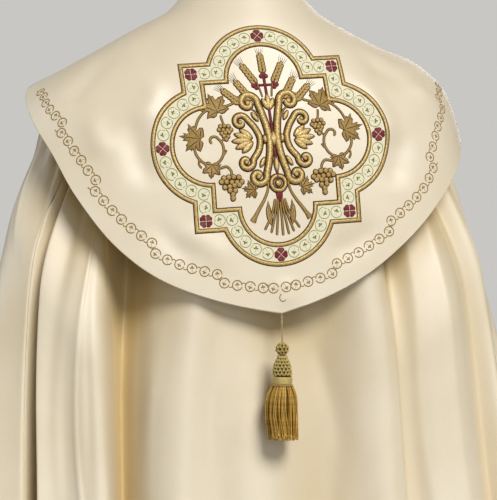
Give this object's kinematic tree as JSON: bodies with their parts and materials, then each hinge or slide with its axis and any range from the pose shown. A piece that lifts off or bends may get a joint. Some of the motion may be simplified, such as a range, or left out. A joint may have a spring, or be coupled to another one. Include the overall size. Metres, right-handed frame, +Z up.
{
  "type": "cope vestment",
  "caption": "Full-length ivory satin cope, worn hollow, with a shield hood, a gold-embroidered quatrefoil on the back, a tassel at the hood's tip and a closing tab at the chest.",
  "frame": {"origin": "centre of the neck opening at shoulder level, where the wearer's neck and shoulders hold the garment", "axes": "+Z up, the hooded back faces -Y, the front opening faces +Y, the wearer's right is +X"},
  "size_m": [1.0984, 0.6296, 1.4683],
  "materials": {
    "ivory_satin": "soft ivory satin with a fine grain",
    "gold_thread": "padded satin-stitched gold thread",
    "olive_gold_thread": "worked olive-gold cord and thread",
    "pale_green_thread": "flat pale green-white embroidered ground",
    "crimson_thread": "dark red satin stitch"
  },
  "bodies": {
    "root": {"mantle_back": "ivory_satin", "mantle_left": "ivory_satin", "mantle_right": "ivory_satin", "hood": "ivory_satin", "neck_band": "ivory_satin", "morse": "ivory_satin", "medallion_outer_line": "gold_thread", "medallion_inner_line": "gold_thread", "medallion_band": "pale_green_thread", "medallion_cross": "gold_thread", "tassel_cord": "olive_gold_thread", "tassel_knot": "olive_gold_thread", "tassel_head": "olive_gold_thread", "tassel_collar": "gold_thread", "tassel_fringe": "gold_thread"}
  },
  "joints": []
}
